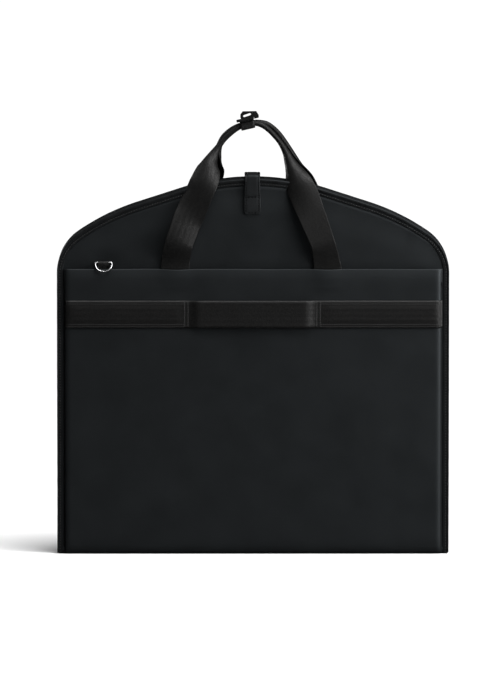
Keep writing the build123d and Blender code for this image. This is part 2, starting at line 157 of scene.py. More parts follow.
def curve(rows, steps):
    """Adds smooth in-between rows. Each row starts with a place, and all its values are blended."""
    spots = [Vector(row[:3]) for row in rows]
    runs = [0.0]
    for p, q in zip(spots, spots[1:]):
        runs.append(runs[-1] + max((q - p).length, 0.01))

    def slope(i, k):
        before, after = max(i - 1, 0), min(i + 1, len(rows) - 1)
        return (rows[after][k] - rows[before][k]) / (runs[after] - runs[before])

    fine = []
    for i in range(len(rows) - 1):
        gap = runs[i + 1] - runs[i]
        for step in range(steps):
            t = step / steps
            rise = t * t * (3 - 2 * t)
            values = []
            for k, (p, q) in enumerate(zip(rows[i], rows[i + 1])):
                bend = gap * (slope(i, k) * t * (1 - t) ** 2 - slope(i + 1, k) * t * t * (1 - t))
                values.append(lerp(p, q, rise) + bend)
            fine.append(tuple(values))
    return fine + [tuple(rows[-1])]


def resample(points, count):
    """The same line of points, spaced evenly by length."""
    runs = distances(points)
    result, i = [], 0
    for k in range(count):
        target = runs[-1] * k / (count - 1)
        while i < len(runs) - 2 and runs[i + 1] < target:
            i += 1
        step = runs[i + 1] - runs[i]
        result.append(points[i].lerp(points[i + 1], (target - runs[i]) / step if step else 0))
    return result


# ---- the outline ----
def outline_walk(spacing):
    """(x, z, outward x, outward z) along the bag's edge, from the left foot over the top to the right."""
    half = []

    def arc(x, z, radius, start, end):
        count = ceil(radius * (end - start) / spacing)
        for i in range(count):
            a = lerp(start, end, i / count)
            half.append((x + radius * cos(a), z + radius * sin(a), cos(a), sin(a)))

    count = ceil((CORNER_Z - BODY_FOOT) / spacing)
    for i in range(count):
        half.append((HALF_WIDTH, lerp(BODY_FOOT, CORNER_Z, i / count), 1.0, 0.0))
    arc(CORNER_X, CORNER_Z, CORNER_RADIUS, 0, pi / 2 - CORNER_SLOPE)
    arc(SHOULDER_X, SHOULDER_Z, SHOULDER_RADIUS, pi / 2 - CORNER_SLOPE, pi / 2 - CROWN_SLOPE)
    x, z, nx, nz = SHOULDER_X, SHOULDER_Z, sin(CROWN_SLOPE), cos(CROWN_SLOPE)
    x, z = x + SHOULDER_RADIUS * nx, z + SHOULDER_RADIUS * nz
    count = ceil(RAMP_RUN / cos(CROWN_SLOPE) / spacing)
    for i in range(count):
        half.append((x - RAMP_RUN * i / count, z + RAMP_DROP * i / count, nx, nz))
    arc(0, CROWN_Z, CROWN_RADIUS, pi / 2 - CROWN_SLOPE, pi / 2)
    left = [(-x, z, -nx, nz) for x, z, nx, nz in half]
    return left + [(0.0, BODY_TOP, 0.0, 1.0)] + half[::-1]


def edge_height(x, inset):
    """How high the bag's edge, moved inward by inset, is at x."""
    x = abs(x)
    if x <= CROWN_X - inset * sin(CROWN_SLOPE):
        return CROWN_Z + sqrt((CROWN_RADIUS - inset) ** 2 - x * x)
    shoulder_end = SHOULDER_X + (SHOULDER_RADIUS - inset) * sin(CROWN_SLOPE)
    if x <= shoulder_end:
        z = SHOULDER_Z + (SHOULDER_RADIUS - inset) * cos(CROWN_SLOPE)
        return z + (shoulder_end - x) * tan(CROWN_SLOPE)
    if x <= SHOULDER_X + (SHOULDER_RADIUS - inset) * sin(CORNER_SLOPE):
        return SHOULDER_Z + sqrt((SHOULDER_RADIUS - inset) ** 2 - (x - SHOULDER_X) ** 2)
    return CORNER_Z + sqrt(max((CORNER_RADIUS - inset) ** 2 - (x - CORNER_X) ** 2, 0))


def edge_distance(x, z):
    """Roughly how far inside the bag's edge a point is."""
    side = HALF_WIDTH - abs(x)
    if z > CORNER_Z and abs(x) > CORNER_X:
        reach = sqrt((abs(x) - CORNER_X) ** 2 + (z - CORNER_Z) ** 2)
        return CORNER_RADIUS - reach
    lean = CROWN_SLOPE if abs(x) < SHOULDER_X else CORNER_SLOPE
    return min(side, (edge_height(min(abs(x), HALF_WIDTH), 0) - z) * cos(lean))


# ---- mesh makers ----
def make_piece(name, points, faces, places, closed=True, facing=None):
    """A mesh piece from points in millimetres; places says where each point lies on its cloth."""
    mesh = bpy.data.meshes.new(name)
    mesh.from_pydata([Vector(p) * MM for p in points], [], faces)
    place = mesh.attributes.new("cloth", "FLOAT_VECTOR", "POINT")
    place.data.foreach_set("vector", [c for p in places for c in p])
    shape = bmesh.new()
    shape.from_mesh(mesh)
    if closed:
        bmesh.ops.recalc_face_normals(shape, faces=shape.faces)
    elif sum((f.normal * f.calc_area() for f in shape.faces), Vector()).dot(Vector(facing)) < 0:
        bmesh.ops.reverse_faces(shape, faces=shape.faces)
    shape.to_mesh(mesh)
    shape.free()
    mesh.shade_smooth()
    piece = bpy.data.objects.new(name, mesh)
    bpy.context.collection.objects.link(piece)
    return piece


def net(rows, columns, loop=False, caps=False):
    """Faces of a net of points, row by row. loop joins each row's ends; caps fills the end rows."""
    faces = []
    for r in range(rows - 1):
        for c in range(columns if loop else columns - 1):
            a, b = r * columns + c, r * columns + (c + 1) % columns
            faces.append((a, b, b + columns, a + columns))
    if caps:
        faces.append(tuple(range(columns)))
        faces.append(tuple(range((rows - 1) * columns, rows * columns)))
    return faces


def thicken(piece, thickness, offset=-1.0):
    skin = piece.modifiers.new("thickness", "SOLIDIFY")
    skin.thickness = thickness * MM
    skin.offset = offset
    return piece


def dress(piece, body, slot, material, *nodes):
    """Gives a piece its material and body, and hides the CAD nodes that it stands for."""
    piece.data.materials.append(material)
    if nodes:
        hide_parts(*nodes)
    if body:
        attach(piece, body)
    return piece


EDGE_STEP = 5.0


def edge_sweep(name, half, section, ripple, shaped=None):
    """A closed section of (inset, depth) points, swept along the bag's edge.

    shaped may change its insets where the edge turns.
    """
    side = HALVES[half]
    points, places = [], []
    walk = outline_walk(EDGE_STEP)
    runs = distances([spot[:2] for spot in walk])
    girth = distances(section)
    for (x, z, nx, nz), run in zip(walk, runs):
        for (inset, depth), across in zip(section, girth):
            if shaped:
                inset = shaped(inset, nz)
            uneven = ripple * wave(run, across, 14, 3.0 * side)
            inset += uneven
            points.append((x - inset * nx, side * (depth + uneven), z - inset * nz))
            places.append((run, across, 0))
    return make_piece(name, points, net(len(walk), len(section), loop=True, caps=True), places)


def strap_columns():
    """Places across a strap from -1 to 1, closer together at its edges so that they stay crisp."""
    return [-1.0, -0.985, -0.95] + spread(-0.9, 0.9, 13) + [0.95, 0.985, 1.0]


def strap_piece(name, stations, side, thickness=WEB):
    """Webbing along stations of (x, y, z, half width, curl, roll). It faces outward on that side.

    Curl 1 rolls it into a grip, and roll lifts its inner edge by that many degrees.
    """
    centres = [Vector(station[:3]) for station in stations]
    runs = distances(centres)
    columns = strap_columns()
    points, places = [], []
    for i, (half, curl, roll) in enumerate(station[3:] for station in stations):
        ahead = heading(centres, i)
        out = Vector((0, side, 0)) - ahead * (side * ahead.y)
        out.normalize()
        wide = out.cross(ahead)
        lift, keep = side * sin(radians(roll)), cos(radians(roll))
        for skin, turn in ((thickness / 2, 1), (-thickness / 2, -1)):
            for u in columns[::turn]:
                edge = 1 - 0.3 * smooth(0.985, 1.0, abs(u))
                w, n = strap_section(u, half, curl, skin * edge)
                points.append(centres[i] + wide * (w * keep - n * lift) + out * (n * keep + w * lift))
                places.append((runs[i], u * half, skin))
    return make_piece(name, points, net(len(stations), 2 * len(columns), loop=True, caps=True), places)


# The rolled grip's half depth and half height, and its radius before it is pressed flat.
GRIP_HALF_DEEP, GRIP_HALF_TALL, GRIP_ROUND = 5.4, 3.9, 7.2


def strap_section(u, half, curl, skin):
    """Place across the width and outward of a point on webbing that curls back at its edges."""
    if curl < 0.02:
        return u * half, skin
    turn = u * pi * curl
    radius = half / (pi * curl)
    full = curl**3
    squash_wide = lerp(1, GRIP_HALF_TALL / GRIP_ROUND, full)
    squash_deep = lerp(1, GRIP_HALF_DEEP / GRIP_ROUND, full)
    wide = (radius + skin) * sin(turn) * squash_wide
    deep = ((radius + skin) * cos(turn) - radius * (1 - curl * curl)) * squash_deep
    return wide, deep


# A stitch's rows: place along it from -1 to 1, thickness and lift, both in thread radii.
STITCH_ARCH = (
    (-1, 0.3, -1.3), (-0.72, 0.95, -0.15), (0, 1.1, 0.25), (0.72, 0.95, -0.15), (1, 0.3, -1.3)
)
STITCH_SIDES = 6


def stitch_piece(name, paths, pitch=STITCH_PITCH, length=2.4, radius=THREAD, slant=0.0):
    """Thread stitches along paths of (point, outward) pairs, as short arched capsules in one piece."""
    points, faces, places = [], [], []
    for path in paths:
        spots, outs = [Vector(p) for p, _ in path], [Vector(o) for _, o in path]
        count = max(2, int(distances(spots)[-1] / pitch))
        centres = resample(spots, 2 * count + 1)
        directions = resample(outs, 2 * count + 1) if len(outs) > 1 else outs
        for k in range(count):
            here, out = centres[2 * k + 1], directions[2 * k + 1].normalized()
            ahead = (centres[2 * k + 2] - centres[2 * k]).normalized()
            wide = out.cross(ahead).normalized()
            ahead = (ahead + wide * slant).normalized()
            wide = out.cross(ahead)
            first = len(points)
            for t, swell, lift in STITCH_ARCH:
                middle = here + ahead * (t * length / 2) + out * (lift * radius)
                for s in range(STITCH_SIDES):
                    a = 2 * pi * s / STITCH_SIDES
                    points.append(middle + (wide * cos(a) + out * sin(a)) * radius * swell)
                    places.append((t * length / 2, a, k))
            capsule = net(len(STITCH_ARCH), STITCH_SIDES, loop=True, caps=True)
            faces += [tuple(first + v for v in face) for face in capsule]
    return make_piece(name, points, faces, places)


# ---- materials ----
def wire(tree, kind, inputs=None, **settings):
    """Adds a shader node. An input may be a number, a colour or another node's output."""
    made = tree.nodes.new(kind)
    for key, value in settings.items():
        setattr(made, key, value)
    for key, value in (inputs or {}).items():
        if isinstance(value, bpy.types.NodeSocket):
            tree.links.new(value, made.inputs[key])
        else:
            made.inputs[key].default_value = value
    return made


def calc(tree, operation, a, b=0.0):
    return wire(tree, "ShaderNodeMath", {0: a, 1: b}, operation=operation).outputs[0]


def plus(tree, a, b):
    return calc(tree, "ADD", a, b)


def times(tree, a, b):
    return calc(tree, "MULTIPLY", a, b)


def ribs(tree, value, pitch):
    """A sine wave of that pitch, in millimetres."""
    return calc(tree, "SINE", times(tree, value, 2 * pi / pitch))


def plane_axes(tree, place):
    """The first two numbers of a place: along and across the cloth."""
    parts = wire(tree, "ShaderNodeSeparateXYZ", {0: place}).outputs
    return parts[0], parts[1]


def grain(tree, place, scale, detail=3.0, rough=0.55):
    """Noise of about 0 to 1; scale is in features per millimetre."""
    inputs = {"Vector": place, "Scale": scale, "Detail": detail, "Roughness": rough}
    return wire(tree, "ShaderNodeTexNoise", inputs).outputs["Fac"]


def fit(tree, value, low, high, to_low, to_high):
    inputs = {"Value": value, "From Min": low, "From Max": high, "To Min": to_low, "To Max": to_high}
    return wire(tree, "ShaderNodeMapRange", inputs, clamp=True).outputs[0]


def two_tone(tree, factor, dark, light):
    ramp = wire(tree, "ShaderNodeValToRGB", {"Fac": factor})
    ramp.color_ramp.elements[0].color = (*dark, 1)
    ramp.color_ramp.elements[1].color = (*light, 1)
    return ramp.outputs["Color"]


def start_material(name, on_cad=False, **shader):
    """Returns a material, its tree, its shader with plain settings, and a place in millimetres."""
    material = bpy.data.materials.new(name)
    material.use_nodes = True
    tree = material.node_tree
    tree.nodes.clear()
    surface = wire(tree, "ShaderNodeBsdfPrincipled")
    wire(tree, "ShaderNodeOutputMaterial", {"Surface": surface.outputs[0]})
    for key, value in shader.items():
        surface.inputs[key.replace("_", " ")].default_value = value
    if on_cad:
        source = wire(tree, "ShaderNodeTexCoord").outputs["Object"]
        scaled = wire(tree, "ShaderNodeVectorMath", {0: source, "Scale": 1 / MM}, operation="SCALE")
        return material, tree, surface, scaled.outputs[0]
    place = wire(tree, "ShaderNodeAttribute", attribute_name="cloth")
    return material, tree, surface, place.outputs["Vector"]


def cover(tree, surface, colour, rough, height, depth, strength):
    """Joins a surface's colour, roughness and bump. The bump's full height is depth, in millimetres."""
    tree.links.new(colour, surface.inputs["Base Color"])
    tree.links.new(rough, surface.inputs["Roughness"])
    inputs = {"Height": height, "Distance": depth * MM, "Strength": strength}
    tree.links.new(wire(tree, "ShaderNodeBump", inputs).outputs[0], surface.inputs["Normal"])


COOL_SHEEN = (0.90, 1.0, 1.06, 1)
CLOTH_WEAVE = 0.55


def coated_cloth(name, dark, light):
    """Smooth coated cloth: a faint plain weave under a matte skin with fine grain."""
    material, tree, surface, place = start_material(
        name, Specular_IOR_Level=0.32, Specular_Tint=COOL_SHEEN
    )
    blotch = grain(tree, place, 0.018, 4)
    fine = grain(tree, place, 1.9, 2)
    tone = plus(tree, times(tree, blotch, 0.62), times(tree, fine, 0.38))
    colour = two_tone(tree, fit(tree, tone, 0.3, 0.7, 0, 1), dark, light)
    rough = fit(tree, tone, 0.25, 0.75, 0.5, 0.6)
    along, across = plane_axes(tree, place)
    weave = times(tree, ribs(tree, along, CLOTH_WEAVE), ribs(tree, across, CLOTH_WEAVE))
    cover(tree, surface, colour, rough, plus(tree, times(tree, weave, 0.18), fine), 0.035, 0.6)
    return material


def pebbled_leather(name, dark, light, on_cad=False):
    """Coated leather: small pebbles with a satin shine, and a colour darker in their creases, which is
    painted shade.
    """
    material, tree, surface, place = start_material(
        name, on_cad, Specular_IOR_Level=0.11, Specular_Tint=COOL_SHEEN
    )
    inputs = {"Vector": place, "Scale": 1.25, "Randomness": 0.9}
    cells = wire(tree, "ShaderNodeTexVoronoi", inputs, feature="DISTANCE_TO_EDGE").outputs["Distance"]
    pebble_and_crease_shade = fit(tree, cells, 0.0, 0.22, 0, 1)
    blotch = grain(tree, place, 0.06, 4)
    # The colour is darker in the creases between pebbles: painted shade in the creases, alongside the real
    # bump.
    tone = plus(tree, times(tree, pebble_and_crease_shade, 0.35), times(tree, blotch, 0.65))
    colour = two_tone(tree, fit(tree, tone, 0.3, 0.85, 0, 1), dark, light)
    rough = fit(tree, blotch, 0.3, 0.7, 0.40, 0.50)
    height = plus(tree, pebble_and_crease_shade, times(tree, grain(tree, place, 3.0), 0.4))
    cover(tree, surface, colour, rough, height, 0.05, 0.7)
    return material


def webbing(name, dark, light, pitch=1.25):
    """Woven webbing: a twill whose ribs slant one way and then the other, fine yarns and small glints, with
    painted shade between the yarns and painted glints in its colour.
    """
    material, tree, surface, place = start_material(name, Specular_IOR_Level=0.24)
    along, across = plane_axes(tree, place)
    zigzag = calc(tree, "PINGPONG", plus(tree, across, 60.0), 4.0)
    rib = ribs(tree, plus(tree, along, times(tree, zigzag, 0.7)), pitch)
    yarn = ribs(tree, across, pitch * 0.62)
    fuzz = grain(tree, place, 0.75, 3, 0.7)
    glint = fit(tree, grain(tree, place, 0.42, 2, 0.8), 0.42, 0.66, 0, 1)
    height = plus(tree, times(tree, rib, 0.32), times(tree, yarn, 0.18))
    height = plus(tree, plus(tree, height, 0.3), times(tree, fuzz, 0.4))
    height = plus(tree, height, times(tree, glint, 0.55))
    # The colour follows the weave's height and the glints: painted shade in the gaps between yarns and
    # painted glints, besides the real bump and roughness.
    tone = plus(tree, times(tree, height, 0.4), times(tree, glint, 0.45))
    colour = two_tone(tree, fit(tree, tone, 0.1, 0.95, 0, 1), dark, light)
    cover(tree, surface, colour, fit(tree, glint, 0, 1, 0.55, 0.34), height, 0.16, 0.7)
    return material


def plain_weave(name, dark, light, pitch=0.5, on_cad=False):
    """Lining or tape: a plain over-and-under weave with uneven threads."""
    material, tree, surface, place = start_material(
        name, on_cad, Specular_IOR_Level=0.3, Sheen_Weight=0.05
    )
    along, across = plane_axes(tree, place)
    threads = times(tree, ribs(tree, along, pitch), ribs(tree, across, pitch))
    uneven = grain(tree, place, 0.3, 3)
    tone = plus(tree, times(tree, threads, 0.2), uneven)
    colour = two_tone(tree, fit(tree, tone, 0.2, 0.8, 0, 1), dark, light)
    cover(tree, surface, colour, fit(tree, uneven, 0.3, 0.7, 0.69, 0.81), tone, 0.08, 0.7)
    return material


def thread(name, dark, light, shine=0.3):
    """Twisted sewing thread."""
    material, tree, surface, place = start_material(name, Specular_IOR_Level=shine)
    along, around = plane_axes(tree, place)
    slanted = plus(tree, times(tree, along, 9.0), around)
    twist = fit(tree, calc(tree, "SINE", slanted), -1, 1, 0, 1)
    colour = two_tone(tree, twist, dark, light)
    cover(tree, surface, colour, fit(tree, twist, 0, 1, 0.55, 0.42), twist, 0.05, 0.8)
    return material


def bright_metal(name, colour, rough):
    """Polished or brushed metal with faint handling marks."""
    material, tree, surface, place = start_material(name, on_cad=True, Metallic=1.0)
    marks = grain(tree, place, 0.9, 4, 0.7)
    tint = two_tone(tree, marks, [c * 0.82 for c in colour], colour)
    cover(tree, surface, tint, fit(tree, marks, 0.3, 0.7, rough, rough * 1.5), marks, 0.02, 0.4)
    return material


def black_metal(name, dark, light, rough):
    """Painted metal: a satin black coat with slight orange peel."""
    material, tree, surface, place = start_material(
        name, on_cad=True, Specular_IOR_Level=0.5, Coat_Weight=0.15
    )
    peel = grain(tree, place, 1.4, 2)
    colour = two_tone(tree, grain(tree, place, 0.25), dark, light)
    cover(tree, surface, colour, fit(tree, peel, 0.3, 0.7, rough - 0.05, rough + 0.07), peel, 0.03, 0.5)
    return material


def moulded(name, dark, light, on_cad=True, rough=0.5):
    """Moulded plastic or foam with a fine texture."""
    material, tree, surface, place = start_material(name, on_cad, Specular_IOR_Level=0.45)
    pores = grain(tree, place, 1.6, 3)
    colour = two_tone(tree, pores, dark, light)
    cover(tree, surface, colour, fit(tree, pores, 0.3, 0.7, rough - 0.05, rough + 0.08), pores, 0.06, 0.6)
    return material


def grey(level, blue=0.0):
    """A near-black grey, a little bluer or, below 0, a little browner."""
    return (level * (1 - blue), level, level * (1 + blue))


SHELL = coated_cloth("shell_cloth", grey(0.0028, 0.08), grey(0.0046, 0.08))
BINDING = pebbled_leather("binding", grey(0.004, 0.04), grey(0.009, 0.04))
TRIM = pebbled_leather("trim_leather", grey(0.007, 0.05), grey(0.012, 0.05))
WEBBING = webbing("webbing", grey(0.0008), grey(0.0070, -0.03))
TRIM_WEB = webbing("trim_webbing", grey(0.002), grey(0.007), pitch=0.9)
LINING = plain_weave("lining", grey(0.016, 0.05), grey(0.03, 0.05))
TAPE = plain_weave("zip_tape", grey(0.008), grey(0.016), pitch=0.8)
SHELL_THREAD = thread("shell_thread", grey(0.012), grey(0.03))
PALE_THREAD = thread("webbing_thread", grey(0.012), grey(0.035))
DARK_THREAD = thread("trim_thread", grey(0.0005), grey(0.0015), shine=0.03)
COIL = moulded("zip_coil", grey(0.008), grey(0.014), on_cad=False, rough=0.35)
CAD_MATERIALS = {
    "lining": plain_weave("inner_lining", grey(0.016, 0.05), grey(0.03, 0.05), on_cad=True),
    "foam": moulded("foam", grey(0.06), grey(0.11), rough=0.8),
    "trim_leather": pebbled_leather("patch_leather", grey(0.008), grey(0.013), on_cad=True),
    "zip_metal": black_metal("zip_metal", grey(0.012), grey(0.022), rough=0.3),
    "elastic": plain_weave("elastic", grey(0.01), grey(0.02), pitch=1.1, on_cad=True),
    "slide_plastic": moulded("slide_plastic", grey(0.012), grey(0.02)),
    "keeper_metal": black_metal("keeper_metal", grey(0.002), grey(0.006), rough=0.22),
    "magnet": bright_metal("magnet", (0.5, 0.5, 0.51), 0.3),
    "ring_metal": bright_metal("ring_metal", (0.50, 0.50, 0.51), 0.22),
}


# ---- camera, floor and light ----
CAMERA_DISTANCE = 12.0
CAMERA_RISE = radians(5.0)
VIEW_CENTRE_X, VIEW_CENTRE_V = -10.9, 311.2
VIEW_HEIGHT = 990.6


def add_camera():
    data = bpy.data.cameras.new("camera")
    data.sensor_fit = "VERTICAL"
    data.sensor_height = 24.0
    data.lens = data.sensor_height * CAMERA_DISTANCE / (VIEW_HEIGHT * MM)
    data.clip_end = 200
    camera = bpy.data.objects.new("camera", data)
    aim_z = (VIEW_CENTRE_V - PANEL_FACE * sin(CAMERA_RISE)) * MM / cos(CAMERA_RISE)
    aim = Vector((VIEW_CENTRE_X * MM, 0, aim_z))
    back = Vector((0, -cos(CAMERA_RISE), sin(CAMERA_RISE)))
    camera.location = aim + back * CAMERA_DISTANCE
    camera.rotation_euler = (pi / 2 - CAMERA_RISE, 0, 0)
    bpy.context.collection.objects.link(camera)
    bpy.context.scene.camera = camera


def add_floor():
    reach = 60.0
    mesh = bpy.data.meshes.new("floor")
    corners = [(-reach, -reach, 0), (reach, -reach, 0), (reach, reach, 0), (-reach, reach, 0)]
    mesh.from_pydata(corners, [], [(0, 1, 2, 3)])
    floor = bpy.data.objects.new("floor", mesh)
    bpy.context.collection.objects.link(floor)
    material = bpy.data.materials.new("floor")
    material.use_nodes = True
    surface = material.node_tree.nodes["Principled BSDF"]
    surface.inputs["Base Color"].default_value = (0.92, 0.92, 0.92, 1)
    surface.inputs["Roughness"].default_value = 0.9
    surface.inputs["Specular IOR Level"].default_value = 0.0
    mesh.materials.append(material)
    # The floor lights the bag, but the black cloth doesn't mirror it.
    floor.visible_glossy = False


LIT_SPOT = Vector((0, 0, 0.35))
SUN_WAY = Vector((-0.30, 0.28, -0.91))


def add_light(name, place, size, power, height):
    """A soft rectangular light that faces the bag."""
    data = bpy.data.lights.new(name, "AREA")
    data.shape = "RECTANGLE"
    data.size, data.size_y = size, height
    data.energy = power
    light = bpy.data.objects.new(name, data)
    light.location = place
    light.rotation_euler = (LIT_SPOT - Vector(place)).to_track_quat("-Z", "Y").to_euler()
    bpy.context.collection.objects.link(light)


def add_lighting():
    world = bpy.data.worlds.new("studio")
    bpy.context.scene.world = world
    world.use_nodes = True
    background = world.node_tree.nodes["Background"]
    background.inputs["Color"].default_value = (0.93, 0.96, 1.0, 1)
    background.inputs["Strength"].default_value = 0.03
    sun = bpy.data.lights.new("overhead", "SUN")
    sun.energy, sun.angle = 3.9, radians(40)
    overhead = bpy.data.objects.new("overhead", sun)
    overhead.rotation_euler = SUN_WAY.to_track_quat("-Z", "Y").to_euler()
    bpy.context.collection.objects.link(overhead)
    add_light("right_softbox", (1.45, -0.6, 0.75), 0.6, 26, height=0.9)
    add_light("front_softbox", (1.35, -1.25, 0.95), 0.7, 8, height=1.1)
    add_light("left_softbox", (-1.6, -1.75, 0.75), 0.8, 1.0, height=0.6)
    add_light("rear_softbox", (-1.5, 1.4, 0.5), 0.8, 13, height=0.7)
    add_light("ridge_softbox", (-1.1, 0.1, 1.5), 0.4, 3, height=0.4)
    view = bpy.context.scene.view_settings
    view.view_transform = "Standard"
    view.look = "None"


add_camera()
add_floor()
add_lighting()


# ---- the two shells ----
def panel_sheet(name, half, inset, foot, depth_at, columns=97):
    """A sheet that fills the outline. depth_at gives its depth at (x, z)."""
    rows = 61
    side = HALVES[half]
    reach = HALF_WIDTH - inset
    points, places = [], []
    for c in range(columns):
        x = reach * sin(pi / 2 * (2 * c / (columns - 1) - 1))
        top = edge_height(x, inset)
        for r in range(rows):
            z = lerp(foot, top, r / (rows - 1))
            points.append((x, side * depth_at(x, z), z))
            places.append((x, z, 0))
    sheet = make_piece(name, points, net(columns, rows), places, closed=False, facing=(0, side, 0))
    return thicken(sheet, PANEL_CLOTH)


# Just below the pocket's top edge, where the panel comes into view.
POCKET_MOUTH = 411.0
RING_PULL_Z = POCKET_MOUTH + 16
INNER_FACE = 4.1


def outer_depth(x, z, ring=False):
    """The outer panel's depth: a shallow crown over the foam, flat behind the pocket, slightly uneven."""
    inside = max(edge_distance(x, z) - BINDING_INNER, 0)
    above = z - POCKET_MOUTH
    crown = smooth(0, 38, inside) * (1.7 * smooth(0, 12, above) + 0.6 * smooth(6, 49, above))
    uneven = 0.45 * wave(x, z, 95, 1.7) + 0.2 * wave(x, z, 38, 5.1)
    depth = PANEL_FACE + crown + uneven * smooth(0, 25, inside) * smooth(1, 34, above)
    if ring:
        # The ring's loop is sewn through the panel and pulls it in.
        reach = sqrt(((x - RING_X) / 26) ** 2 + ((z - RING_PULL_Z) / 17) ** 2)
        depth -= 1.5 * (1 - smooth(0, 1, reach))
    return depth


def inner_depth(x, z):
    """The inner panel's depth: a little slack between the piping and the zip."""
    inside = max(edge_distance(x, z) - PIPING_INNER, 0)
    slack = smooth(0, 40, inside) * smooth(14, 60, abs(x)) * smooth(8, 70, z)
    return INNER_FACE + slack * (0.5 + 0.7 * wave(x, z, 70, 9.3) + 0.3 * wave(x, z, 26, 2.2))


# As it is along the top: sewn strip, groove, then a full ridge. Down the sides the ridge is narrower.
BINDING_SECTION = (
    (10.2, 25.2), (10.1, 26.1), (9.8, 26.45), (8.6, 26.6), (7.2, 26.55), (6.5, 26.5), (6.1, 26.15),
    (5.7, 26.1), (5.3, 26.6), (4.4, 27.6), (3.2, 28.2), (2.0, 28.2), (0.9, 27.6), (0.1, 26.6),
    (-0.2, 25.2), (-0.1, 22.6), (0.1, 20.7), (0.8, 20.0), (1.6, 20.5), (1.7, 23.6), (8.8, 24.4),
)
GROOVE_INSET, SEAM_INSET = 5.9, 7.7
SIDE_GROOVE_INSET, SIDE_SEAM_INSET, SIDE_INNER_INSET = 2.9, 4.4, 8.9


def binding_inset(inset, facing_up):
    """An inset on the binding, where the edge faces up by 0 at the sides to 1 at the top."""
    top = smooth(0.02, 0.85, facing_up)
    groove = lerp(SIDE_GROOVE_INSET, GROOVE_INSET, top)
    if inset <= GROOVE_INSET:
        return inset * groove / GROOVE_INSET
    widest = BINDING_SECTION[0][0]
    inner = lerp(SIDE_INNER_INSET, widest, top)
    return groove + (inset - GROOVE_INSET) / (widest - GROOVE_INSET) * (inner - groove)


PIPING_SECTION = (
    (5.3, 4.3), (5.2, 3.7), (4.2, 3.3), (3.5, 2.7), (3.2, 1.5), (2.4, 0.5), (1.3, 0.3),
    (0.3, 0.9), (-0.1, 2.3), (-0.05, 4.6), (0.1, 7.2), (0.6, 8.1), (1.5, 8.0), (1.7, 5.6),
)
GUSSET_SECTION = (
    (0.9, 20.9), (1.2, 19.6), (1.7, 18.5), (2.1, 16.0), (2.3, 14.0), (2.1, 12.0), (1.7, 9.5),
    (1.3, 8.4), (0.9, 7.0),
)
# The opening in the rear gusset, for a hanger's hook.
PORT_HALF, PORT_LOW, PORT_HIGH, PORT_DROP = 22.0, 9.5, 18.5, 10.0


def gusset_sheet(half):
    """The wall round the edge: slightly hollow between its seams, with small puckers."""
    side = HALVES[half]
    walk = outline_walk(3.0)
    runs = distances([spot[:2] for spot in walk])
    inner_edge, outer_edge = GUSSET_SECTION[-1][1], GUSSET_SECTION[0][1]
    points, places = [], []
    for (x, z, nx, nz), run in zip(walk, runs):
        for inset, depth in GUSSET_SECTION:
            hollow = sin(pi * (depth - inner_edge) / (outer_edge - inner_edge))
            pucker = 0.35 * wave(run, depth, 16, 4.0 * side) + 0.25 * wave(run, depth, 60, 8.0)
            dip = inset + hollow * pucker
            points.append((x - dip * nx, side * depth, z - dip * nz))
            places.append((run, depth, 0))

    def in_port(face):
        middle = sum((Vector(points[v]) for v in face), Vector()) / 4
        near_middle = abs(middle.x) < PORT_HALF and middle.z > BODY_TOP - PORT_DROP
        return near_middle and PORT_LOW < side * middle.y < PORT_HIGH

    faces = net(len(walk), len(GUSSET_SECTION))
    if half == "rear":
        faces = [face for face in faces if not in_port(face)]
    gusset = make_piece(half + "_gusset_cloth", points, faces, places, closed=False, facing=(0, 0, 1))
    thicken(gusset, LAP_CLOTH)
    return dress(gusset, half + "_half", "shell_cloth", SHELL, half + "_gusset")


def edge_stitches(name, half, inset_at, depth, **stitch):
    """Stitches along the edge. inset_at gives their inset where the edge faces up by that much."""
    side = HALVES[half]
    path = []
    for x, z, nx, nz in outline_walk(4.0):
        inset = inset_at(nz)
        path.append(((x - inset * nx, side * depth, z - inset * nz), (0, side, 0)))
    return stitch_piece(name, [path], **stitch)


def seam_inset(facing_up):
    return lerp(SIDE_SEAM_INSET, SEAM_INSET, smooth(0.02, 0.85, facing_up))


BINDING_SEAM_DEPTH = 26.65
PIPING_SEAM_INSET, PIPING_SEAM_DEPTH = 6.4, 3.75
INNER_INSET, INNER_FOOT = 4.6, 10.0
SLIT_HALF = 7.6


def build_shell(half):
    body = half + "_half"
    pulled = half == "front"
    panel = panel_sheet(
        half + "_panel", half, PANEL_INSET, BODY_FOOT, lambda x, z: outer_depth(x, z, pulled)
    )
    dress(panel, body, "shell_cloth", SHELL, half + "_outer_panel")
    inner = panel_sheet(half + "_inner_cloth", half, INNER_INSET, INNER_FOOT, inner_depth, columns=98)
    cut_slit(inner, SLIT_HALF, ZIP_HEAD - 8)
    dress(inner, body, "lining", LINING, half + "_inner_panel")
    gusset_sheet(half)
    binding = edge_sweep(half + "_binding", half, BINDING_SECTION, 0.14, shaped=binding_inset)
    dress(binding, body, "binding", BINDING, half + "_outer_binding")
    stitch = {"pitch": 4.0, "length": 2.0, "radius": 0.5, "slant": 0.3}
    seam = edge_stitches(half + "_binding_stitches", half, seam_inset, BINDING_SEAM_DEPTH, **stitch)
    dress(seam, body, "binding", PALE_THREAD)
    piping = edge_sweep(half + "_piping", half, PIPING_SECTION, 0.12)
    dress(piping, body, "binding", BINDING, half + "_inner_piping")
    inner_seam = edge_stitches(
        half + "_piping_stitches", half, lambda facing_up: PIPING_SEAM_INSET, PIPING_SEAM_DEPTH
    )
    dress(inner_seam, body, "lining", SHELL_THREAD)


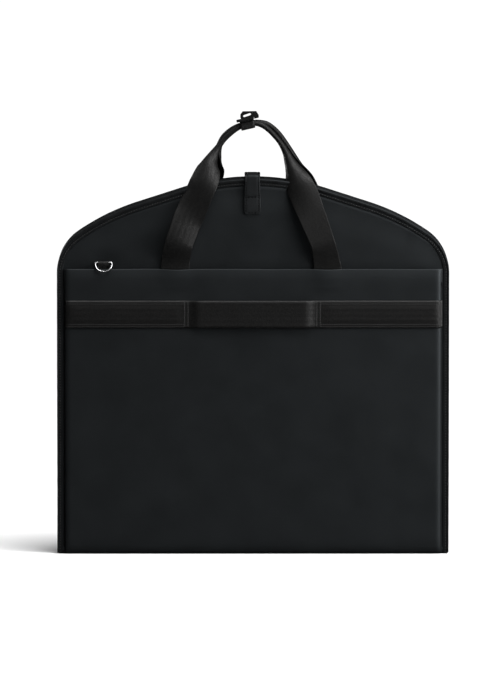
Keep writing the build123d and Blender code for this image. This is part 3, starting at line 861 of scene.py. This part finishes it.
def cut_slit(sheet, half_width, top):
    """Opens a sheet along its middle for the zip."""
    shape = bmesh.new()
    shape.from_mesh(sheet.data)
    for x in (-half_width, half_width):
        geometry = shape.verts[:] + shape.edges[:] + shape.faces[:]
        bmesh.ops.bisect_plane(shape, geom=geometry, plane_co=(x * MM, 0, 0), plane_no=(1, 0, 0))
    geometry = shape.verts[:] + shape.edges[:] + shape.faces[:]
    bmesh.ops.bisect_plane(shape, geom=geometry, plane_co=(0, 0, top * MM), plane_no=(0, 0, 1))
    inside = []
    for face in shape.faces:
        middle = face.calc_center_median()
        if abs(middle.x) < half_width * MM and middle.z < top * MM:
            inside.append(face)
    bmesh.ops.delete(shape, geom=inside, context="FACES")
    shape.to_mesh(sheet.data)
    shape.free()


# ---- zip ----
TAPE_FOOT, TAPE_DEPTH = 10.5, 5.5
TAPE_INNER_X, TAPE_OUTER_X, TAPE_SEAM_X = 2.7, 17.8, 10.4
TAPE_SEAM_DEPTH = 4.0
COIL_FOOT, COIL_PITCH = 11, 1.7


def build_zip(half):
    """Tapes, a coil of looped teeth on each tape, and two rows of stitching."""
    side = HALVES[half]
    body = half + "_half"
    points, places, faces = [], [], []
    for lr in (-1, 1):
        first = len(points)
        rows, columns = 60, 6
        for r in range(rows):
            z = lerp(TAPE_FOOT, ZIP_HEAD, r / (rows - 1))
            for c in range(columns):
                x = lerp(TAPE_INNER_X, TAPE_OUTER_X, c / (columns - 1))
                points.append((lr * x, side * (TAPE_DEPTH + 0.15 * wave(x, z, 30, lr)), z))
                places.append((x, z, 0))
        faces += [tuple(first + v for v in f) for f in net(rows, columns)]
    tapes = make_piece(half + "_zip_tape", points, faces, places, closed=False, facing=(0, -side, 0))
    thicken(tapes, TAPE_CLOTH, offset=0.0)
    dress(tapes, body, "zip_tape", TAPE, half + "_zip_tapes")
    points, places, faces = [], [], []
    sides, turns = 5, 8
    for lr in (-1, 1):
        for k in range(int((COIL_HEAD - COIL_FOOT) / COIL_PITCH)):
            z = COIL_FOOT + COIL_PITCH * (k + (0.5 if lr > 0 else 0))
            first = len(points)
            for t in range(turns):
                a = pi * 1.25 * (t / (turns - 1) - 0.5)
                middle = Vector((lr * (3.0 - 1.7 * cos(a)), side * (5.3 + 0.95 * sin(a)), z))
                out = Vector((-lr * cos(a), side * sin(a), 0))
                for s in range(sides):
                    b = 2 * pi * s / sides
                    points.append(middle + out * cos(b) * 0.36 + Vector((0, 0, sin(b) * 0.5)))
                    places.append((t, b, k))
            faces += [tuple(first + v for v in f) for f in net(turns, sides, loop=True, caps=True)]
    coil = make_piece(half + "_zip_teeth", points, faces, places)
    dress(coil, body, "zip_coil", COIL, half + "_zip_coils")

    def seam_point(x, z):
        return ((x, side * TAPE_SEAM_DEPTH, z), (0, -side, 0))

    rows = [[seam_point(lr * TAPE_SEAM_X, z) for z in spread(12, ZIP_HEAD - 4, 90)] for lr in (-1, 1)]
    rows.append([seam_point(x, ZIP_HEAD - 3.5) for x in spread(-TAPE_SEAM_X, TAPE_SEAM_X, 8)])
    seam = stitch_piece(half + "_zip_stitches", rows)
    dress(seam, body, "lining", SHELL_THREAD)


# ---- pocket and rear lap ----
LAP_REACH = HALF_WIDTH - BINDING_INNER - 0.25
LEG_SPOTS = (-112.0, 108.0)


def lap_depth(x, full, edge=26.0, roll=9.0):
    """Depth near the lap's sides, where it curves back under the binding."""
    inside = min((LAP_REACH - abs(x)) / roll, 1.0)
    return edge + (full - edge) * sqrt(max(1 - (1 - inside) ** 2, 0))


def leg_dip(x):
    return sum(bump(spot, 30, x) for spot in LEG_SPOTS)


# Over the lap's top fold: a step outward, the share of the dip that it takes, and a drop from the top.
LAP_FOLD = (
    (0.3, 0.8, 15), (0.05, 0.9, 11.5), (-0.4, 1.0, 8), (-0.85, 1.0, 5), (-1.35, 1.0, 2.4),
    (-1.65, 1.0, 1.1), (-1.9, 0.9, 0.35), (-2.6, 0.7, 0), (-3.4, 0.5, 0.8), (-3.6, 0.4, 4),
    (-3.2, 0.3, 9), (-2.4, 0, 16), (-1.9, 0, 24),
)


def lap_profile(face, dip, sag):
    """(depth, z) points from the base, up the face, over the top fold and down inside."""
    top = POCKET_TOP + 0.7 - 0.9 * dip - 0.5 * sag
    base = [(-6.2, 1.0), (-4.6, 1.4), (-2.4, 3.0), (-0.9, 6.0), (-0.1, 11.0)]
    wall = [(0.25, z) for z in spread(20, 385, 40)]
    wall += [(0.35 + 0.5 * dip, z) for z in (388, 392, 396)]
    fold = [(step + share * dip, top - drop) for step, share, drop in LAP_FOLD]
    return [(face + step, z) for step, z in base + wall + fold]


def lap_surface(x, z, face):
    """How far the lap's face stands out at (x, z), beyond its plain profile."""
    inside = smooth(0, 40, LAP_REACH - abs(x)) * smooth(0, 60, z) * smooth(0, 30, POCKET_TOP + 12 - z)
    return inside * (0.5 * wave(x, z, 120, 6.0 + face) + 0.2 * wave(x, z, 45, 2.0))


def build_lap(name, half, face, *nodes):
    side = HALVES[half]
    points, places = [], []
    columns = 141
    rows = len(lap_profile(face, 0, 0))
    for c in range(columns):
        u = 2 * c / (columns - 1) - 1
        x = LAP_REACH * (0.72 * u + 0.28 * sin(pi / 2 * u))
        profile = lap_profile(face, leg_dip(x), wave(x, 0, 60, face))
        for (depth, z), run in zip(profile, distances(profile)):
            full = depth + lap_surface(x, z, face)
            points.append((x, side * lap_depth(x, full), z))
            places.append((x, run, 0))
    lap = make_piece(name, points, net(columns, rows), places, closed=False, facing=(0, side, 0))
    thicken(lap, LAP_CLOTH)
    dress(lap, half + "_half", "shell_cloth", SHELL, *nodes)


# ---- trolley band ----
SLEEVE_LEFT, SLEEVE_RIGHT, SLEEVE_RAMP = -94.0, 92.0, 16.0
BAND_EDGE_DEPTH = 26.6


def band_back(x, z):
    """The depth of the band's back: close to the pocket where it is sewn, clear of it between."""
    rise = smooth(SLEEVE_LEFT, SLEEVE_LEFT + SLEEVE_RAMP, x)
    rise *= 1 - smooth(SLEEVE_RIGHT - SLEEVE_RAMP, SLEEVE_RIGHT, x)
    open_part = 4.7 * rise + 0.35 * rise * wave(x, z, 50, 3.3)
    puff = smooth(BAND_LOW + 5, BAND_LOW + 11, z) * (1 - smooth(BAND_HIGH - 11, BAND_HIGH - 5, z))
    taper = smooth(0, 18, SLEEVE_LEFT - 4 - x) if x < 0 else smooth(0, 18, x - SLEEVE_RIGHT - 4)
    sewn = (1 - rise) * (0.25 + 0.75 * puff * taper * smooth(0, 16, LAP_REACH - abs(x)))
    return POCKET_FACE + 0.3 + lap_surface(x, z, POCKET_FACE) + open_part + sewn


def band_seam_point(x, z):
    depth = lap_depth(x, band_back(x, z) + WEB, BAND_EDGE_DEPTH)
    return ((x, 0.05 - depth, z), (0, -1, 0))


def build_band():
    points, places = [], []
    columns, across = 161, 15
    heights = spread(BAND_LOW, BAND_HIGH, across)
    for x in spread(-LAP_REACH, LAP_REACH, columns):
        for skin, order in ((WEB, heights), (0.0, heights[::-1])):
            for z in order:
                margin = min(z - BAND_LOW, BAND_HIGH - z)
                swell = 0.55 + 0.45 * smooth(0, 1.2, margin + 0.35)
                fraying = 0.15 * wave(x, z, 7, 1.0) * (1 - smooth(0, 3, margin))
                full = band_back(x, z) + WEB / 2 + (skin - WEB / 2) * swell
                points.append((x, -lap_depth(x, full, BAND_EDGE_DEPTH), z + fraying))
                places.append((x, z - BAND_LOW, skin))
    band = make_piece("trolley_band", points, net(columns, 2 * across, loop=True, caps=True), places)
    dress(band, "front_half", "webbing", WEBBING, "trolley_webbing")
    edges = []
    for start, end in ((-LAP_REACH + 3, SLEEVE_LEFT - 6), (SLEEVE_RIGHT + 6, LAP_REACH - 3)):
        for z in (BAND_LOW + 1.8, BAND_LOW + 5.0, BAND_HIGH - 5.0, BAND_HIGH - 1.8):
            edges.append([band_seam_point(x, z) for x in spread(start, end, 40)])
    seam = stitch_piece("band_edge_stitches", edges, pitch=2.6, length=1.9)
    dress(seam, "front_half", "webbing", SHELL_THREAD)
    bars = []
    for x in (SLEEVE_LEFT - 5.5, SLEEVE_LEFT - 0.5, SLEEVE_RIGHT + 0.5, SLEEVE_RIGHT + 5.5):
        bars.append([band_seam_point(x, z) for z in spread(BAND_LOW + 2, BAND_HIGH - 2, 20)])
    cross = stitch_piece("band_cross_stitches", bars, pitch=2.3, length=2.5, radius=0.45, slant=0.9)
    dress(cross, "front_half", "webbing", PALE_THREAD)


# ---- carry handles ----
# Each row: x, depth, z, half width, curl, roll, then how far right and up of it the rear handle sits.
LEFT_LEG = (
    (-113.4, 27.3, 338, 20.3, 0, 0, 0, 0),
    (-113.2, 27.3, 410, 20.6, 0, 0, 0, 0),
    (-112.4, 29.3, 427, 20.6, 0.02, -4, 0, 0),
    (-108, 39.6, 451, 20.8, 0.06, -11, 0.5, 0),
    (-101.5, 39.6, 469, 21.2, 0.09, -13, 1.5, 0),
    (-95, 37.4, 487, 21.6, 0.11, -8, 2.5, 0),
    (-88, 36.2, 504.5, 21.6, 0.11, 7, 3.2, 0),
    (-80.4, 35.8, 523.5, 21.8, 0.12, 19, 4.2, 0),
    (-72, 34, 543.5, 22, 0.15, 19, 5.5, 0),
    (-64.2, 23.4, 566, 21.5, 0.38, 11, 6.2, 0),
    (-59.4, 14, 577, 20.8, 0.66, 2, 5.2, 0),
    (-53, 9, 588.5, 20.2, 0.9, 0, 2.6, 1),
)
GRIP = (
    (-43, 7.2, 602, 19.5, 1, 0, -1.5, 2.2),
    (-34, 7, 611, 19.5, 1, 0, -2, 2.3),
    (-24.5, 7, 618.4, 19.5, 1, 0, -1.2, 1.6),
    (-14.5, 7, 623.8, 19.5, 1, 0, 0, 0.3),
    (-4, 7, 626.5, 19.5, 1, 0, 0, 0),
    (6, 7, 626.5, 20.2, 1, 0, 0.8, 0.8),
    (15.5, 7, 622.8, 20, 1, 0, 3.2, 2.8),
    (24, 7, 616.3, 19.5, 1, 0, 4.4, 3.4),
    (31.6, 7, 608.6, 19.5, 1, 0, 5, 3.2),
    (39.4, 7.3, 599, 19.5, 1, 0, 5.2, 2.4),
)
RIGHT_LEG = (
    (48.2, 9.4, 584, 20.2, 0.88, 0, 5.2, 1.2),
    (53, 14.6, 572, 20.6, 0.7, -3, 5.5, 0),
    (57.6, 21.8, 560.5, 21, 0.5, -5, 4.5, 0),
    (65.6, 31, 541, 21.2, 0.2, -4, 3, 0),
    (75, 34.4, 522, 21, 0.09, 0, 2, 0),
    (84.8, 37, 497, 19.8, 0.02, 4, 1.5, 0),
    (94.2, 38.8, 473, 18.5, 0, 4, 1, 0),
    (101.6, 38.2, 453, 17.6, 0, 4, 0.5, 0),
    (106.4, 30.6, 430, 18.9, 0, 0, 0, 0),
    (108.7, 27.3, 410, 20.6, 0, 0, 0, 0),
    (108.6, 27.3, 338, 20.3, 0, 0, 0, 0),
)


def build_handle(half):
    side = HALVES[half]
    stations = []
    for x, depth, z, wide, curl, roll, shift, lift in curve(LEFT_LEG + GRIP + RIGHT_LEG, 7):
        if half == "rear":
            x, z = x + shift, z + lift
        stations.append((x, side * depth, z, wide, min(max(curl, 0), 1), roll))
    handle = strap_piece(half + "_handle_strap", stations, side)
    dress(handle, None, "webbing", WEBBING, half + "_handle_webbing", half + "_handle_anchors")
    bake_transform(handle)


# ---- grip clip ----
KEEPER_TILT = radians(13.0)
KEEPER_X, KEEPER_Z = -8.1, 625.08
KEEPER_HALF = 10.25
LOOP_CENTRE_DEPTH, LOOP_CENTRE_Z = 7.0, -0.95
LOOP_HALF_DEEP, LOOP_HALF_TALL = 5.75, 5.1


def on_keeper(x, depth, z, side):
    """A place in the clip's own frame, tilted with the grip."""
    return (
        KEEPER_X + x * cos(KEEPER_TILT) - z * sin(KEEPER_TILT),
        side * depth,
        KEEPER_Z + x * sin(KEEPER_TILT) + z * cos(KEEPER_TILT),
    )


def boxy(angle_part):
    """A circle's sine or cosine, pushed outward so that the circle turns into a rounded box."""
    return abs(angle_part) ** 0.42 * (1 if angle_part > 0 else -1)


def build_keeper_loop(half):
    """Tape sewn round one grip."""
    side = HALVES[half]
    points, places = [], []
    rows, turns = 13, 36
    tape = 1.05
    for skin in (1.0, 0.0):
        for r in range(rows) if skin else reversed(range(rows)):
            x = KEEPER_HALF * (2 * r / (rows - 1) - 1)
            hem = 0.35 * smooth(KEEPER_HALF - 1.4, KEEPER_HALF - 0.2, abs(x))
            outward = (tape - hem) * skin
            for t in range(turns):
                a = 2 * pi * t / turns
                deep = LOOP_CENTRE_DEPTH + (LOOP_HALF_DEEP + outward) * boxy(cos(a))
                up = LOOP_CENTRE_Z + (LOOP_HALF_TALL + outward) * boxy(sin(a))
                points.append(on_keeper(x, deep, up, side))
                places.append((a * 6, x, skin))
    faces = net(2 * rows, turns, loop=True)
    last = (2 * rows - 1) * turns
    faces += [(t, (t + 1) % turns, last + (t + 1) % turns, last + t) for t in range(turns)]
    loop = make_piece(half + "_keeper_tape", points, faces, places)
    dress(loop, half + "_handle", "trim_webbing", TRIM_WEB, half + "_keeper_loop")


# ---- closure tab ----
TAB_X = -0.9
TAB_SEAM = 2.6
TAB_CROSS = 521.0
TAB_CORNER = 5.0
# (y, z) points up the rear panel, over the top, and down the front over the hidden snap.
TAB_LINE = (
    (27.6, TAB_SEWN_FOOT), (27.8, 530), (28.9, 544), (28.9, 549.6), (27.2, 552.1), (22.0, 552.5),
    (10.0, 552.4), (0.0, 552.3), (-10.0, 552.4), (-22.0, 552.5), (-28.2, 552.3), (-30.6, 550.4),
    (-31.1, 546.0), (-31.1, 540), (-30.6, 532), (-30.0, 525), (-28.9, TAB_CROSS), (-29.6, 517),
    (-29.9, 510), (-29.3, 502), (-28.4, TAB_FOOT),
)


def build_tab():
    """One strap: sewn on the rear panel, over the top, and down the front to its hidden snap."""
    stations = resample([Vector(p) for p in curve([(0, y, z) for y, z in TAB_LINE], 8)], 130)
    points, places = [], []
    across = 33
    for i, (here, run) in enumerate(zip(stations, distances(stations))):
        ahead = heading(stations, i)
        out = Vector((0, ahead.z, -ahead.y))
        end = min((stations[0] - here).length, (stations[-1] - here).length)
        half = TAB_HALF - TAB_CORNER + sqrt(TAB_CORNER**2 - (TAB_CORNER - min(end, TAB_CORNER)) ** 2)
        half -= 1.1 * bump(545, 30, here.z) * (1 if i > len(stations) / 2 else 0.6)
        for sign in (1, -1):
            for u in spread(-sign, sign, across):
                inside = min((1 - abs(u)) * half, end)
                rim = smooth(0, 0.8, inside)
                groove = 0.3 * bump(TAB_SEAM, 1.4, inside)
                pad = 0.3 * smooth(TAB_SEAM, TAB_SEAM + 4, inside)
                lift = 0.4 + 0.8 * rim - groove + pad if sign > 0 else -0.9 * rim
                points.append(here + Vector((TAB_X + u * half, 0, 0)) + out * lift)
                places.append((run, u * half, sign))
    tab = make_piece("closure_strap", points, net(len(stations), 2 * across, loop=True, caps=True), places)
    dress(tab, None, "trim_leather", TRIM, "tab_strap", "closure_tab_face", "closure_tab_backing")
    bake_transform(tab)
    build_tab_stitches()


def build_tab_stitches():
    reach = TAB_HALF - TAB_SEAM
    forward, back, up = (0, -1, 0), (0, 1, 0), (0, 0, 1)

    def across(y, z, out):
        return [((TAB_X + u, y, z), out) for u in spread(-reach, reach, 8)]

    def tab_seam(name, paths, body):
        seam = stitch_piece(name, paths, pitch=3.7, length=1.9, radius=0.95)
        dress(seam, body, "trim_leather", DARK_THREAD)

    line = [(TAB_FOOT + 4, -29.5), (502, -30.1), (510, -30.7), (517, -30.3), (TAB_CROSS, -29.6)]
    line += [(526, -30.8), (533, -31.5), (544, -31.9)]
    front, rear = [], []
    for lr in (-1, 1):
        front.append([((TAB_X + lr * (reach - 0.5 * smooth(520, 545, z)), y, z), forward) for z, y in line])
        rear.append([((TAB_X + lr * (reach - 0.5), y, TAB_TOP - 0.2), up) for y in spread(-16, 23, 16)])
        rear.append([((TAB_X + lr * reach, 28.5, z), back) for z in spread(TAB_SEWN_FOOT + 4, 530, 14)])
    front.append(across(-29.5, TAB_FOOT + TAB_SEAM, forward)[1:-1])
    front.append(across(-30.5, TAB_CROSS, forward)[1:-1])
    for z in (TAB_SEWN_FOOT + TAB_SEAM, 528.0):
        rear.append(across(28.6, z, back))
    tab_seam("tab_stitches", front, "closure_tab")
    tab_seam("tab_strap_stitches", rear, "rear_half")


# ---- ring loop ----
# (depth, z) points up the outer ply, round the ring's bar and down the inner ply.
RING_TAPE_LINE = (
    (26.2, 396), (26.2, 405), (26.25, 416), (26.15, 421), (26.4, 424.5), (27.4, 426.6), (28.7, 427.0),
    (30.2, 426.2), (30.8, 424.2), (30.4, 421.8), (29.2, 419.6), (28.3, 416.8), (28.0, 412),
    (28.0, 403), (28.0, 396),
)
RING_TAPE_HALF = 8.0


def build_ring_loop():
    """Tape folded round the ring's bar, both plies running down into the pocket."""
    rows = [(RING_X, -depth, z, RING_TAPE_HALF, 0, 0) for depth, z in RING_TAPE_LINE]
    loop = strap_piece("ring_tape", curve(rows, 4), FRONT, thickness=1.0)
    dress(loop, "front_half", "trim_webbing", TRIM_WEB, "ring_loop")


# ---- cloth across the fold ----
FOLD_REACH = HALF_WIDTH - 2.2


def fold_sheet(name, node, slot, material, path, reach, facing):
    """Cloth along a path of (y, z) points, running across the hinge."""
    points, places = [], []
    columns = 81
    runs = distances(path)
    for (y, z), run in zip(path, runs):
        ripple = 0.15 if z > 1 else 0.0
        for x in spread(-reach, reach, columns):
            points.append((x, y, z + ripple * wave(x, y, 40, 2.5)))
            places.append((x, run, 0))
    cloth = make_piece(name, points, net(len(path), columns), places, closed=False, facing=facing)
    thicken(cloth, FOLD_CLOTH)
    dress(cloth, None, slot, material, node)
    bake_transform(cloth)


def build_fold():
    """Outside, the cloth that the bag stands on; inside, a strip tucked down into the crease."""
    down, up = (0, 0, -1), (0, 0, 1)
    heel = [(25.6, 9.0), (25.7, 5.0), (25.4, 2.0), (24.2, 0.4), (21.0, 0.05)]
    sole = [(y, 0.05 if abs(y) > 3 else 0.6) for y in spread(18, -18, 19)]
    outside = heel + sole + [(-y, z) for y, z in heel[::-1]]
    fold_sheet("fold_cloth", "fold_panel", "shell_cloth", SHELL, outside, FOLD_REACH, down)
    crease = [(5.0, 11.0), (4.6, 9.4), (3.6, 6.8), (2.2, 4.2), (0.9, 2.6), (0.0, 2.2)]
    inside = crease + [(-y, z) for y, z in crease[-2::-1]]
    fold_sheet("inner_fold_cloth", "inner_fold_panel", "lining", LINING, inside, FOLD_REACH - 3, up)


# ---- hard parts that keep their CAD shape ----
def finish_cad_nodes():
    slots = {part["node"]: part["material_slot"] for part in frame["record"]["subparts"]}
    for name, part in frame["nodes"].items():
        material = CAD_MATERIALS.get(slots[name])
        if material is None or part.hide_render:
            continue
        part.data.materials.clear()
        part.data.materials.append(material)
        part.data.shade_smooth()
        crisp = part.modifiers.new("crisp edges", "EDGE_SPLIT")
        crisp.split_angle = radians(35)


for half in HALVES:
    build_shell(half)
    build_zip(half)
    build_handle(half)
    build_keeper_loop(half)
build_lap("front_pocket", "front", POCKET_FACE, "pocket_panel", "pocket_gusset", "pocket_facing")
build_lap("rear_lap", "rear", LAP_FACE, "rear_lap_panel")
build_band()
build_tab()
build_ring_loop()
build_fold()
finish_cad_nodes()
